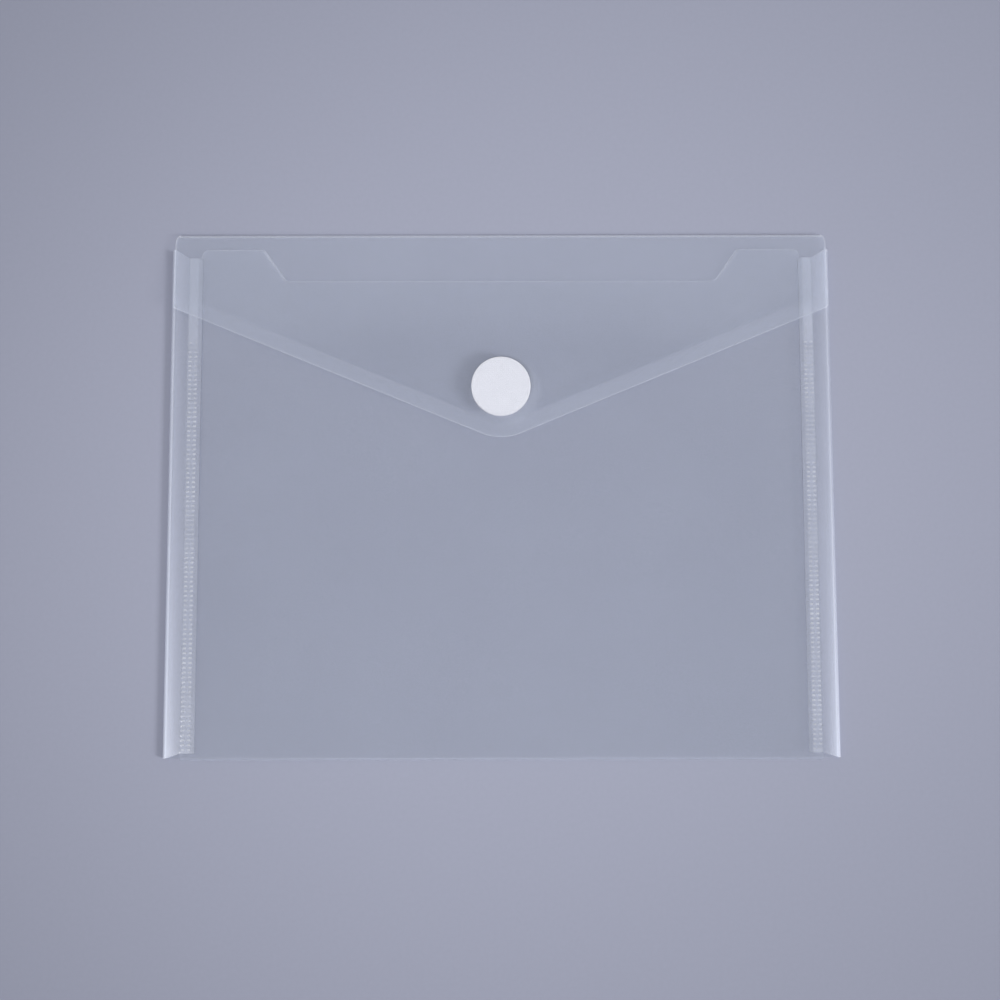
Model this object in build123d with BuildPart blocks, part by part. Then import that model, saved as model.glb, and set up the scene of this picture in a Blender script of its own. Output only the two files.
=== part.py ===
from build123d import *
import os
from math import atan, degrees, sin

# A clear document wallet lying on its back: +Z is up out of the front, +Y points at the flap's fold.
# The origin is the middle of the back, on the surface that the wallet lies on. Millimetres.

# The sheet and the body
body_width = 224.0
body_height = 178.0
sheet = 0.3
pocket_gap = 0.9

# The flap: depths are measured down from the top fold
flap_inset = 0.9
flap_side_depth = 26.0
flap_point_depth = 72.0
flap_point_radius = 16.0
flap_shoulder_radius = 2.0
flap_corner_radius = 2.4

# The front panel's ears and thumb scoop: insets are measured in from the side
ear_top_depth = 5.3
ear_outer_inset = 10.0
ear_inner_inset = 31.4
ear_corner_radius = 2.4
scoop_depth = 16.3
scoop_corner_inset = 39.1
scoop_corner_radius = 1.0

# The side wings
wing_width = 10.6
lap_width = 5.0
wing_top_depth = 5.2
lap_top_depth = 8.2
lap_bottom_height = 2.3

# The hook-and-loop dot, placed from the flap's point
dot_from_point = 19.0
dot_diameter = 20.0
dot_level_margin = 3.5
adhesive_thickness = 0.15
adhesive_inset = 0.3
backing_thickness = 0.35
pile_inset = 0.2
loop_height = 0.65
hook_height = 0.65
engage_gap = 0.1

# Places that follow from those sizes
half_width = body_width / 2
top_y = body_height / 2
fold_radius = pocket_gap / 2 + sheet
top_axis_y = top_y - fold_radius
bottom_axis_y = -top_axis_y
front_z = sheet + pocket_gap
lap_z = front_z + sheet
side_fold_radius = (lap_z + sheet) / 2
side_tangent_x = half_width - side_fold_radius
front_half_width = half_width - wing_width + lap_width
wing_top_y = top_y - wing_top_depth
lap_top_y = top_y - lap_top_depth
lap_bottom_y = lap_bottom_height - top_y
flap_half_width = half_width - flap_inset
dot_y = top_y - flap_point_depth + dot_from_point
dot_radius = dot_diameter / 2

# The stack of the dot, from the front panel up to the flap
loop_backing_z = lap_z + adhesive_thickness
loop_pile_z = loop_backing_z + backing_thickness
hook_field_z = loop_pile_z + loop_height + engage_gap
hook_backing_z = hook_field_z + hook_height
hook_adhesive_z = hook_backing_z + backing_thickness
flap_level_z = hook_adhesive_z + adhesive_thickness

# The flap leaves its fold at a slope and sweeps round to level just before it reaches the dot
fold_middle_radius = fold_radius - sheet / 2
flap_run = top_axis_y - dot_y - dot_radius - dot_level_margin
flap_rise = flap_level_z + sheet / 2 - fold_radius - fold_middle_radius
lift_angle = 2 * atan(flap_rise / flap_run)
lift_degrees = degrees(lift_angle)
sweep_radius = flap_run / sin(lift_angle) + fold_middle_radius
sweep_center_y = top_axis_y - flap_run
sweep_center_z = flap_level_z + sheet / 2 - sweep_radius

sides = (("left", -1), ("right", 1))

os.makedirs("parts", exist_ok=True)


def finish(piece, label):
    """Name a finished piece and write it out."""
    piece.part.label = label
    export_step(piece.part, f"parts/{label}.step")


def ring_strip(center, outer_radius, start_angle, turn):
    """Draw the section of a fold: part of a ring as thick as the sheet."""
    inner_radius = outer_radius - sheet
    with BuildLine() as section:
        outer = CenterArc(center, outer_radius, start_angle, turn)
        inner = CenterArc(center, inner_radius, start_angle, turn)
        Line(outer @ 0, inner @ 0)
        Line(outer @ 1, inner @ 1)
    make_face(section.edges())


# Plan of the flap: square shoulders that run into a wide V with a rounded point
with BuildSketch() as flap_plan:
    with BuildLine():
        Polyline(
            (-flap_half_width, top_y),
            (flap_half_width, top_y),
            (flap_half_width, top_y - flap_side_depth),
            (0, top_y - flap_point_depth),
            (-flap_half_width, top_y - flap_side_depth),
            close=True,
        )
    make_face()
    corners = flap_plan.vertices().group_by(Axis.Y)
    fillet(corners[0], flap_point_radius)
    corners = flap_plan.vertices().group_by(Axis.Y)
    fillet(corners[-1], flap_corner_radius)
    shoulders = flap_plan.vertices().filter_by_position(
        Axis.Y, top_y - flap_side_depth - sheet, top_y - flap_side_depth + sheet
    )
    fillet(shoulders, flap_shoulder_radius)

# The back: a flat sheet between the folds, with a strip above the wings that carries the flap
with BuildPart() as back_panel:
    with BuildSketch():
        with Locations((0, (wing_top_y + bottom_axis_y) / 2)):
            Rectangle(2 * side_tangent_x, wing_top_y - bottom_axis_y)
    extrude(amount=sheet)
    with BuildSketch():
        with Locations((0, (wing_top_y + top_axis_y) / 2)):
            Rectangle(2 * flap_half_width, top_axis_y - wing_top_y)
        add(flap_plan.sketch, mode=Mode.INTERSECT)
    extrude(amount=sheet)
finish(back_panel, "back_panel")

# The bottom fold turns the sheet over from the back to the front
with BuildPart() as bottom_fold:
    with BuildSketch(Plane.YZ):
        ring_strip((bottom_axis_y, fold_radius), fold_radius, 90, 180)
    extrude(amount=front_half_width, both=True)
finish(bottom_fold, "bottom_fold")

# The front: ears at both ends of its top edge, with a thumb scoop between them
right_outline = [
    (front_half_width, bottom_axis_y),
    (front_half_width, lap_top_y),
    (half_width - ear_outer_inset, lap_top_y),
    (half_width - ear_outer_inset, top_y - ear_top_depth),
    (half_width - ear_inner_inset, top_y - ear_top_depth),
    (half_width - scoop_corner_inset, top_y - scoop_depth),
]
left_outline = [(-x, y) for x, y in reversed(right_outline)]
with BuildPart() as front_panel:
    with BuildSketch(Plane.XY.offset(front_z)) as front_plan:
        with BuildLine():
            Polyline(*right_outline, *left_outline, close=True)
        make_face()
        ear_tops = front_plan.vertices().group_by(Axis.Y)[-1].sort_by(Axis.X)
        fillet([ear_tops[0], ear_tops[-1]], ear_corner_radius)
        ear_tops = front_plan.vertices().group_by(Axis.Y)[-1].sort_by(Axis.X)
        fillet(ear_tops[1:-1], scoop_corner_radius)
        scoop_ends = front_plan.vertices().filter_by_position(
            Axis.Y, top_y - scoop_depth - sheet, top_y - scoop_depth + sheet
        )
        fillet(scoop_ends, scoop_corner_radius)
    extrude(amount=sheet)
finish(front_panel, "front_panel")

# The flap's fold stops short of a half turn, by the slope at which the flap leaves it
with BuildPart() as flap_fold:
    with BuildSketch(Plane.YZ):
        ring_strip((top_axis_y, fold_radius), fold_radius, -90, 180 - lift_degrees)
    extrude(amount=flap_half_width, both=True)
    extrude(flap_plan.sketch, amount=body_height, mode=Mode.INTERSECT)
finish(flap_fold, "flap_fold")

# The flap: a swept rise and a level stretch over the dot, cut to the plan
with BuildPart() as flap_panel:
    with BuildSketch(Plane.YZ):
        with BuildLine():
            sweep_center = (sweep_center_y, sweep_center_z)
            upper = CenterArc(sweep_center, sweep_radius + sheet / 2, 90 - lift_degrees, lift_degrees)
            lower = CenterArc(sweep_center, sweep_radius - sheet / 2, 90 - lift_degrees, lift_degrees)
            Line(upper @ 0, lower @ 0)
            Polyline(
                upper @ 1,
                (top_y - flap_point_depth, flap_level_z + sheet),
                (top_y - flap_point_depth, flap_level_z),
                lower @ 1,
            )
        make_face()
    extrude(amount=flap_half_width, both=True)
    extrude(flap_plan.sketch, amount=body_height, mode=Mode.INTERSECT)
finish(flap_panel, "flap_panel")

for side, sign in sides:
    # The round outer edge, where the wing turns over from the back
    with BuildPart() as side_fold:
        with BuildSketch(Plane.XZ.offset(-wing_top_y)):
            ring_strip((sign * side_tangent_x, side_fold_radius), side_fold_radius, -90, sign * 180)
        extrude(amount=wing_top_y - bottom_axis_y)
    finish(side_fold, f"{side}_side_fold")

    # The free part of the wing, cut on the slant at both ends
    with BuildPart() as wing:
        with BuildSketch(Plane.XY.offset(lap_z)):
            with BuildLine():
                Polyline(
                    (sign * side_tangent_x, bottom_axis_y),
                    (sign * side_tangent_x, wing_top_y),
                    (sign * front_half_width, lap_top_y),
                    (sign * front_half_width, lap_bottom_y),
                    close=True,
                )
            make_face()
        extrude(amount=sheet)
    finish(wing, f"{side}_wing")

    # The edge of the wing that is welded down on the front panel
    with BuildPart() as seam:
        with BuildSketch(Plane.XY.offset(lap_z)):
            with Locations((sign * (front_half_width - lap_width / 2), (lap_top_y + lap_bottom_y) / 2)):
                Rectangle(lap_width, lap_top_y - lap_bottom_y)
        extrude(amount=sheet)
    finish(seam, f"{side}_seam")

# The discs of the dot, from the front panel up: name, underside, thickness and radius
discs = (
    ("loop_adhesive", lap_z, adhesive_thickness, dot_radius - adhesive_inset),
    ("loop_backing", loop_backing_z, backing_thickness, dot_radius),
    ("loop_pile", loop_pile_z, loop_height, dot_radius - pile_inset),
    ("hook_field", hook_field_z, hook_height, dot_radius - pile_inset),
    ("hook_backing", hook_backing_z, backing_thickness, dot_radius),
    ("hook_adhesive", hook_adhesive_z, adhesive_thickness, dot_radius - adhesive_inset),
)
for disc_name, underside, thickness, radius in discs:
    with BuildPart() as disc:
        with BuildSketch(Plane.XY.offset(underside)):
            with Locations((0, dot_y)):
                Circle(radius)
        extrude(amount=thickness)
    finish(disc, disc_name)

top_of_flap = flap_level_z + sheet
print(f"flap leaves its fold at {lift_degrees:.2f} degrees, level after {flap_run:.2f} mm, top at {top_of_flap:.2f}")
print(f"fold axes at y {bottom_axis_y:.3f} and {top_axis_y:.3f}, z {fold_radius:.3f}")
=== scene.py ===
# %% [markdown]
# # A clear document wallet
# One sheet of slightly frosty polypropylene is folded up into a flat pocket, its side wings are welded down,
# and a V-shaped flap is held shut by a white hook-and-loop dot. This lesson loads the wallet's construction
# model as a fixed frame, and then makes each piece again over it, with the finish that the eye expects.

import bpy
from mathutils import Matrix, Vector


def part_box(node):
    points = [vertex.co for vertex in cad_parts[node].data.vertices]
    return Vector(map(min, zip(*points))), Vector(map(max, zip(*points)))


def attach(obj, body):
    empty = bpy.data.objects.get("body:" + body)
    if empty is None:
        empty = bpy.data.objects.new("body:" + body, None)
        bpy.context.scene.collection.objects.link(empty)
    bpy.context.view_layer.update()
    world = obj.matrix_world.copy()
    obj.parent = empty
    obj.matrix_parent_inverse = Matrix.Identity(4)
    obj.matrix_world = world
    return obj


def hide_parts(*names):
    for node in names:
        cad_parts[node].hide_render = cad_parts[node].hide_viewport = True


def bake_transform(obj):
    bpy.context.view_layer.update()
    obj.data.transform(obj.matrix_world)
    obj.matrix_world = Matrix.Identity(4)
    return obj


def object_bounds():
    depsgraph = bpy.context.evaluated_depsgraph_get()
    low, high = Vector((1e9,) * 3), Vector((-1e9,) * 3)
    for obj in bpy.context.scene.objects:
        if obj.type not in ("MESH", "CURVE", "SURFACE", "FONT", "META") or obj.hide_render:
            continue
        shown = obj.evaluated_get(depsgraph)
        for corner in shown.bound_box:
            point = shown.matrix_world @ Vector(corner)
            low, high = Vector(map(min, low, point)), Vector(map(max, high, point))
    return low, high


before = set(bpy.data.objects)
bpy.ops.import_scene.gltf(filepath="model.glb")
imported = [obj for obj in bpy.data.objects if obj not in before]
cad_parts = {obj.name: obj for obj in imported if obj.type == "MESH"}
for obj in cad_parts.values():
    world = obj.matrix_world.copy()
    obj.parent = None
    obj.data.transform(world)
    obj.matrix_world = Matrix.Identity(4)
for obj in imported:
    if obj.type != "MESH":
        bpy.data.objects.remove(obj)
cad_low, cad_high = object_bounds()
print("nodes in the frame:", len(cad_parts))

# %% [markdown]
# ## Sizes
# The boxes of the construction model's nodes give where each sheet starts and ends, so a piece made here lies
# where its node lies. Only the plan of the cut edges is repeated, in millimetres. Two tiny lengths are named
# for all steps: a hair, within which two places count as the same, and the merge distance of doubled points.

# %% Sizes
import math
import random

import bmesh
import bpy
from mathutils import Vector

mm = 0.001
hair, merge = 0.01 * mm, 0.001 * mm
back_low, back_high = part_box("back_panel")
front_low, front_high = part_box("front_panel")
flap_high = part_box("flap_panel")[1]
sheet = back_high.z - back_low.z
top_edge = cad_high.y
fold_radius = (front_high.z - back_low.z) / 2
top_fold_y = back_high.y
bottom_fold_y = back_low.y
flap_half = flap_high.x
shoulder_y, point_y = top_edge - 26.0 * mm, top_edge - 72.0 * mm
print("sheet", round(sheet / mm, 3), "mm, fold radius", round(fold_radius / mm, 3), "mm")

# %% [markdown]
# ## Camera
# The picture is taken almost straight down, from a little below the middle of the wallet, with a 60 mm lens
# on a 36 mm sensor. A camera with no turn looks down its own -Z, so it needs little more than a small turn
# about X.

# %% Camera
camera_place = (-1.37 * mm, -67.58 * mm, 557.73 * mm)
camera_turn = (math.radians(6.669), math.radians(-0.085), math.radians(-0.125))
bpy.ops.object.select_all(action="DESELECT")
bpy.ops.object.camera_add(location=camera_place, rotation=camera_turn)
camera = bpy.context.object
camera.name = "camera"
camera.data.lens = 60
camera.data.sensor_width = 36
camera.data.clip_start = 10 * mm
bpy.context.scene.camera = camera
bpy.context.scene.view_settings.view_transform = "Standard"
print("camera height", round(camera.location.z, 3), "m")

# %% [markdown]
# ## Nodes and colours
# Colours are written as the hex codes that a screen shows. Blender's sockets hold linear light, so one
# function turns the one into the other. A second function adds any node: what is a socket is linked, and the
# rest is set.


# %% Nodes and colours
def linear(hex_code):
    """Turn a screen colour into linear light, by the curve of the sRGB standard."""
    channels = [int(hex_code[place:place + 2], 16) / 255 for place in (1, 3, 5)]
    return [c / 12.92 if c <= 0.04045 else ((c + 0.055) / 1.055) ** 2.4 for c in channels] + [1.0]


def add_node(tree, kind, settings=None, inputs=None):
    """Add a node with its settings; an input that is another node's socket is linked."""
    made = tree.nodes.new(kind)
    for name, value in (settings or {}).items():
        setattr(made, name, value)
    for name, value in (inputs or {}).items():
        if isinstance(value, bpy.types.NodeSocket):
            tree.links.new(value, made.inputs[name])
        else:
            made.inputs[name].default_value = value
    return made


def new_finish(name):
    """Start an empty material and hand back its node tree with it."""
    finish = bpy.data.materials.new(name)
    finish.use_nodes = True
    finish.node_tree.nodes.clear()
    return finish, finish.node_tree


print("white is", linear("#FFFFFF"))

# %% [markdown]
# ## Floor and light
# The wallet lies on a plain matt board of pale blue-grey. A key lamp shines down from high up on the near
# left and makes a soft pool of light. A square lamp stands low on the right, and throws the shadow of the
# left side and of the dot out to the left. The room around is evenly lit, but dimmer straight overhead,
# because that is the part of it that the flat sheets mirror. Lamp power is worked out from the share of the
# light that each lamp should give on the board, so that colours come out about as they are written.

# %% Floor
board_width, board_gap, speckle_size = 6, 0.05 * mm, 1.5 * mm
bpy.ops.object.select_all(action="DESELECT")
bpy.ops.mesh.primitive_plane_add(size=board_width, location=(0, 0, -board_gap))
floor = bpy.context.object
floor.name = "floor"
bpy.ops.object.transform_apply(location=True, rotation=True, scale=True)
# Matt paint: no gloss, and a faint speckle that keeps it from looking like a flat colour
board, tree = new_finish("matt_painted_board")
coords = add_node(tree, "ShaderNodeTexCoord")
speckle = add_node(tree, "ShaderNodeTexNoise", {}, {
    "Vector": coords.outputs["Object"], "Scale": 1 / speckle_size,
})
tone = add_node(tree, "ShaderNodeMix", {"data_type": "RGBA"}, {
    "Factor": speckle.outputs["Fac"], 6: linear("#A2A5B6"), 7: linear("#A6A9BA"),
})
paint = add_node(tree, "ShaderNodeBsdfPrincipled", {}, {
    "Base Color": tone.outputs[2], "Roughness": 0.9, "Specular IOR Level": 0.1,
})
add_node(tree, "ShaderNodeOutputMaterial", {}, {"Surface": paint.outputs["BSDF"]})
floor.data.materials.append(board)
print("floor", tuple(round(side, 2) for side in floor.dimensions))


# %% Lamps
def add_lamp(name, share, bearing, height, distance, size, cone=None, aim=(0, 0, 0)):
    """Aim a square lamp, or a spot if it has a cone; bearing 0 is the near side and 90 the right."""
    turn, lift = math.radians(bearing), math.radians(height)
    way = Vector((math.sin(turn) * math.cos(lift), -math.cos(turn) * math.cos(lift), math.sin(lift)))
    place = way * distance
    bpy.ops.object.select_all(action="DESELECT")
    bpy.ops.object.light_add(
        type="SPOT" if cone else "AREA",
        location=place + Vector(aim),
        rotation=place.to_track_quat("Z", "Y").to_euler(),
    )
    lamp = bpy.context.object
    lamp.name = name
    lamp.data.energy = share * (math.pi * distance) ** 2 / math.sin(lift)
    if cone:
        # A spot's power is spread over a whole sphere, so it takes four times as much as a flat lamp
        lamp.data.energy *= 4
        lamp.data.shadow_soft_size = size
        lamp.data.spot_size = math.radians(cone)
        lamp.data.spot_blend = 0.75
    else:
        lamp.data.shape = "RECTANGLE"
        lamp.data.size = lamp.data.size_y = size
    print(name, round(lamp.data.energy, 2), "W")


add_lamp("right_lamp", share=0.275, bearing=70, height=28, distance=3.2, size=0.8)
add_lamp("key_spot", share=0.335, bearing=318, height=68, distance=1.6, size=0.12, cone=18,
         aim=(6 * mm, 14 * mm, 0))

# %% Room
# Heights on a dome of radius 1: above the first the room is dim, and below the second it has its full light
overhead_z, aside_z = 0.982, 0.95
overhead_light, room_light = 0.25, 0.44
room_tint = (0.98, 0.99, 1.045, 1)
room = bpy.data.worlds.new("soft_room")
room.use_nodes = True
sky = room.node_tree
coords = add_node(sky, "ShaderNodeTexCoord")
parts = add_node(sky, "ShaderNodeSeparateXYZ", {}, {0: coords.outputs["Generated"]})
dome = add_node(sky, "ShaderNodeMapRange", {}, {
    "Value": parts.outputs["Z"], "From Min": overhead_z, "From Max": aside_z,
    "To Min": overhead_light, "To Max": room_light,
})
sky.links.new(dome.outputs["Result"], sky.nodes["Background"].inputs["Strength"])
sky.nodes["Background"].inputs["Color"].default_value = room_tint
bpy.context.scene.world = room
# A view along the table passes through many faces of clear sheet
bpy.context.scene.cycles.transparent_max_bounces = 64
print("room light", room_light, "and overhead", overhead_light)

# %% [markdown]
# ## The clear plastics
# Polypropylene sheet is extruded, and one face is rolled with a fine sand texture. Most light goes straight
# through, a little is scattered as a bluish haze, and the surface turns more mirror-like where it is seen at
# a slant. A glass shader would refract, which a thin sheet doesn't visibly do, so each face is mostly
# Transparent with a small share of a Principled plastic. The share carries the haze's clouds and specks. The
# whitened folds, the torn cut edges and the knurled weld are the same plastic with more haze. What is
# scattered mostly goes on down, so a flat hazy strip hardly darkens what lies under it, while a round fold
# bends light away and leaves a dark line beside it: each finish has a veil, by which its haze counts less or
# more against the lamps' light.


# %% A clear plastic
def clear_plastic(name, colour, haze, roughness, cloud_mm=35, grain_mm=0.6, whitened=None, shine=0.04,
                  slant=0.7, patchy=0.15, veil=1.0):
    """Make a clear plastic.

    A face scatters a share of the light, its haze, which is patchy in clouds and specked with grain. A rule
    for where it is whitened adds more. It mirrors by its shine seen straight on, and by its slant edge on.
    """
    finish, tree = new_finish(name)
    coords = add_node(tree, "ShaderNodeTexCoord")
    cloud = add_node(tree, "ShaderNodeTexNoise", {}, {
        "Vector": coords.outputs["Object"], "Scale": 1 / (cloud_mm * mm), "Detail": 2,
    })
    # The sand texture is finer than a pixel, so its specks are drawn three times as coarse as they are
    grain = add_node(tree, "ShaderNodeTexNoise", {}, {
        "Vector": coords.outputs["Object"], "Scale": 1 / (grain_mm * mm), "Detail": 1,
    })
    clouded = add_node(tree, "ShaderNodeMapRange", {}, {
        "Value": cloud.outputs["Fac"], "From Min": 0.3, "From Max": 0.7,
        "To Min": haze * (1 - patchy), "To Max": haze * (1 + patchy),
    })
    specked = add_node(tree, "ShaderNodeMapRange", {}, {
        "Value": grain.outputs["Fac"], "From Min": 0.4, "From Max": 0.75, "To Min": 0, "To Max": haze * 0.4,
    })
    share = add_node(tree, "ShaderNodeMath", {"operation": "ADD", "use_clamp": True}, {
        0: clouded.outputs["Result"], 1: specked.outputs["Result"],
    })
    if whitened:
        share = add_node(tree, "ShaderNodeMath", {"operation": "ADD", "use_clamp": True}, {
            0: share.outputs["Value"], 1: whitened(tree, coords.outputs["Object"]),
        })
    if veil != 1:
        path = add_node(tree, "ShaderNodeLightPath")
        onward = add_node(tree, "ShaderNodeMath", {"operation": "MULTIPLY_ADD"}, {
            0: path.outputs["Is Shadow Ray"], 1: veil - 1, 2: 1.0,
        })
        share = add_node(tree, "ShaderNodeMath", {"operation": "MULTIPLY", "use_clamp": True}, {
            0: share.outputs["Value"], 1: onward.outputs["Value"],
        })
    plastic = add_node(tree, "ShaderNodeBsdfPrincipled", {}, {
        "Base Color": linear(colour), "Roughness": 0.6, "IOR": 1.49,
    })
    through = add_node(tree, "ShaderNodeBsdfTransparent", {}, {"Color": (0.994, 0.997, 1.0, 1)})
    sheet_body = add_node(tree, "ShaderNodeMixShader", {}, {
        0: share.outputs["Value"], 1: through.outputs["BSDF"], 2: plastic.outputs["BSDF"],
    })
    # The mirror grows with the fifth power of the slant, as it does on any clear surface
    facing = add_node(tree, "ShaderNodeLayerWeight", {}, {"Blend": 0.5})
    steep = add_node(tree, "ShaderNodeMath", {"operation": "POWER"}, {0: facing.outputs["Facing"], 1: 5})
    mirror = add_node(tree, "ShaderNodeMath", {"operation": "MULTIPLY_ADD"}, {
        0: steep.outputs["Value"], 1: slant, 2: shine,
    })
    gloss = add_node(tree, "ShaderNodeBsdfGlossy", {}, {"Roughness": roughness})
    skin = add_node(tree, "ShaderNodeMixShader", {}, {
        0: mirror.outputs["Value"], 1: sheet_body.outputs["Shader"], 2: gloss.outputs["BSDF"],
    })
    add_node(tree, "ShaderNodeOutputMaterial", {}, {"Surface": skin.outputs["Shader"]})
    return finish


def along_the_sheet(start_y, end_y, white):
    """Make a rule that whitens along Y, from not at all at the start to the most at the end."""
    def rule(tree, place):
        parts = add_node(tree, "ShaderNodeSeparateXYZ", {}, {0: place})
        return add_node(tree, "ShaderNodeMapRange", {}, {
            "Value": parts.outputs["Y"], "From Min": start_y, "From Max": end_y, "To Min": 0, "To Max": white,
        }).outputs["Result"]
    return rule


# The plain sheet is nearly invisible: a faint bluish veil and a soft mirror tell the eye that it is there
sheet_haze = "#E1E8F8"
clear_sheet = clear_plastic("polypropylene_sheet_clear", sheet_haze, haze=0.042, roughness=0.09)
print("plain finish:", clear_sheet.name)

# %% [markdown]
# ## The wings' plastic
# A wing is milkier than the rest and whitest out at its fold, where stress white and a painted highlight
# make each side end in a soft bright line, brightest at the foot of the wing. The end of the wing that lies
# under the flap gets painted light against the flap's shade. Each of these is a ramp along X or Y that adds
# haze. The right fold faces the low lamp, so it is painted less white than the left one, to offset that
# lamp's light on it, and it throws less of a shadow.

# %% The wings' plastic
wing_inner_x, wing_outer_x = 106.4 * mm, 112 * mm
foot_ramp_start_y, foot_ramp_end_y = 84 * mm, -88 * mm
side_white, foot_white = 0.14, 0.39
highlight_start_x, highlight_end_x = 110.3 * mm, 111.5 * mm
milky_below = along_the_sheet(58 * mm, -40 * mm, 0.06)
# Painted light on the wing's end under the flap, which lifts the flap's shade there
under_flap_margin, under_flap_light = 0.3 * mm, 0.085


def towards_the_side(tree, place, fold_highlight_white=0.2):
    """Whiten a wing out to its fold and down to its foot, with a painted highlight on the fold line, and
    paint light on the end under the flap.
    """
    parts = add_node(tree, "ShaderNodeSeparateXYZ", {}, {0: place})
    out = add_node(tree, "ShaderNodeMath", {"operation": "ABSOLUTE"}, {0: parts.outputs["X"]})
    across = add_node(tree, "ShaderNodeMapRange", {}, {
        "Value": out.outputs["Value"], "From Min": wing_inner_x, "From Max": wing_outer_x,
        "To Min": 0, "To Max": 1,
    })
    curve = add_node(tree, "ShaderNodeMath", {"operation": "POWER"}, {0: across.outputs["Result"], 1: 1.7})
    along = add_node(tree, "ShaderNodeMapRange", {}, {
        "Value": parts.outputs["Y"], "From Min": foot_ramp_start_y, "From Max": foot_ramp_end_y,
        "To Min": 0, "To Max": 1,
    })
    footward = add_node(tree, "ShaderNodeMath", {"operation": "POWER"}, {0: along.outputs["Result"], 1: 4})
    most = add_node(tree, "ShaderNodeMath", {"operation": "MULTIPLY_ADD"}, {
        0: footward.outputs["Value"], 1: foot_white, 2: side_white,
    })
    # Painted highlight: a narrow bright line on the outermost round of the fold
    rolled = add_node(tree, "ShaderNodeMapRange", {"interpolation_type": "SMOOTHSTEP"}, {
        "Value": out.outputs["Value"], "From Min": highlight_start_x, "From Max": highlight_end_x,
        "To Min": 0, "To Max": fold_highlight_white,
    })
    outer = add_node(tree, "ShaderNodeMath", {"operation": "MULTIPLY_ADD"}, {
        0: curve.outputs["Value"], 1: most.outputs["Value"], 2: rolled.outputs["Result"],
    })
    sheet_white = add_node(tree, "ShaderNodeMath", {"operation": "ADD"}, {
        0: outer.outputs["Value"], 1: milky_below(tree, place),
    })
    flap_line = add_node(tree, "ShaderNodeMath", {"operation": "MULTIPLY_ADD"}, {
        0: out.outputs["Value"], 1: (shoulder_y - point_y) / flap_half, 2: point_y + under_flap_margin,
    })
    under_flap = add_node(tree, "ShaderNodeMath", {"operation": "GREATER_THAN"}, {
        0: parts.outputs["Y"], 1: flap_line.outputs["Value"],
    })
    return add_node(tree, "ShaderNodeMath", {"operation": "MULTIPLY_ADD"}, {
        0: under_flap.outputs["Value"], 1: under_flap_light, 2: sheet_white.outputs["Value"],
    }).outputs["Value"]


def towards_the_lit_side(tree, place):
    """Whiten the right wing in the same way, but paint some white off its fold, to offset the low lamp's
    light.
    """
    return towards_the_side(tree, place, -0.08)


# Milky sheet with hardly a mirror: the leaf and the right fold let light down, the left fold throws a shadow
wing_look = {"colour": "#ECF1FF", "haze": 0.035, "roughness": 0.25, "slant": 0.05}
wing_sheet = clear_plastic("polypropylene_wing_whitened", whitened=towards_the_side, veil=0.3, **wing_look)
wing_fold = clear_plastic("polypropylene_wing_rolled", whitened=towards_the_side, veil=3.0, **wing_look)
# The right fold's copy is painted less white, to offset the low lamp's light on that side
lit_fold = clear_plastic("polypropylene_wing_rolled_lit", whitened=towards_the_lit_side, veil=0.3,
                         **wing_look)
print("wing finishes:", [m.name for m in (wing_sheet, wing_fold, lit_fold)])

# %% [markdown]
# ## Folds, cut edges and welds
# The same plastic again, worked harder. A sharp crease is white, with a painted highlight on its round, and
# a torn edge is white too; an edge that is cut along the way the sheet was extruded tears rougher and whiter
# than one cut across it. The weld is whiter low down, and the step at its inner edge is painted as a dark
# line of shade, plainer towards the mouth.

# %% Folds, cut edges and welds
towards_the_bottom = along_the_sheet(-5 * mm, -65 * mm, 0.03)
towards_the_top = along_the_sheet(-70 * mm, 5 * mm, 0.13)
sideways_start, sideways_end, torn_white = 0.33, 0.6, 0.5


def along_the_grain(tree, place):
    """Whiten an edge that faces sideways, because it was cut along the grain of the sheet."""
    surface = add_node(tree, "ShaderNodeNewGeometry")
    parts = add_node(tree, "ShaderNodeSeparateXYZ", {}, {0: surface.outputs["Normal"]})
    sideways = add_node(tree, "ShaderNodeMath", {"operation": "ABSOLUTE"}, {0: parts.outputs["X"]})
    return add_node(tree, "ShaderNodeMapRange", {}, {
        "Value": sideways.outputs["Value"], "From Min": sideways_start, "From Max": sideways_end,
        "To Min": 0, "To Max": torn_white,
    }).outputs["Result"]


stretched_white, pressed_white = "#EEF2FC", "#EEF3FF"
# The sharp top crease shows as a thin white line, stress white with a painted highlight, and the bottom fold,
# rolled while warm, hardly shows
fold_look = {"cloud_mm": 12, "grain_mm": 0.5, "shine": 0.02, "slant": 0.3}
crease = clear_plastic("polypropylene_fold_whitened", stretched_white, haze=0.2, roughness=0.4, veil=2.0,
                       **fold_look)
soft_fold = clear_plastic("polypropylene_fold_rolled", sheet_haze, haze=0.06, roughness=0.5, **fold_look)
# A die-cut edge is torn, so it glints as a fine line, and beside the scoop a band of painted highlight stands
# for the glint of the slanted cut walls
edge_look = {"colour": stretched_white, "cloud_mm": 6, "grain_mm": 0.4, "slant": 0.1, "veil": 0.25}
cut_edge = clear_plastic("polypropylene_edge_die_cut", haze=0.23, roughness=0.4, whitened=along_the_grain,
                         **edge_look)
torn = clear_plastic("polypropylene_edge_painted_highlight", haze=0.12, roughness=0.3, patchy=0.4, **edge_look)
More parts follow.
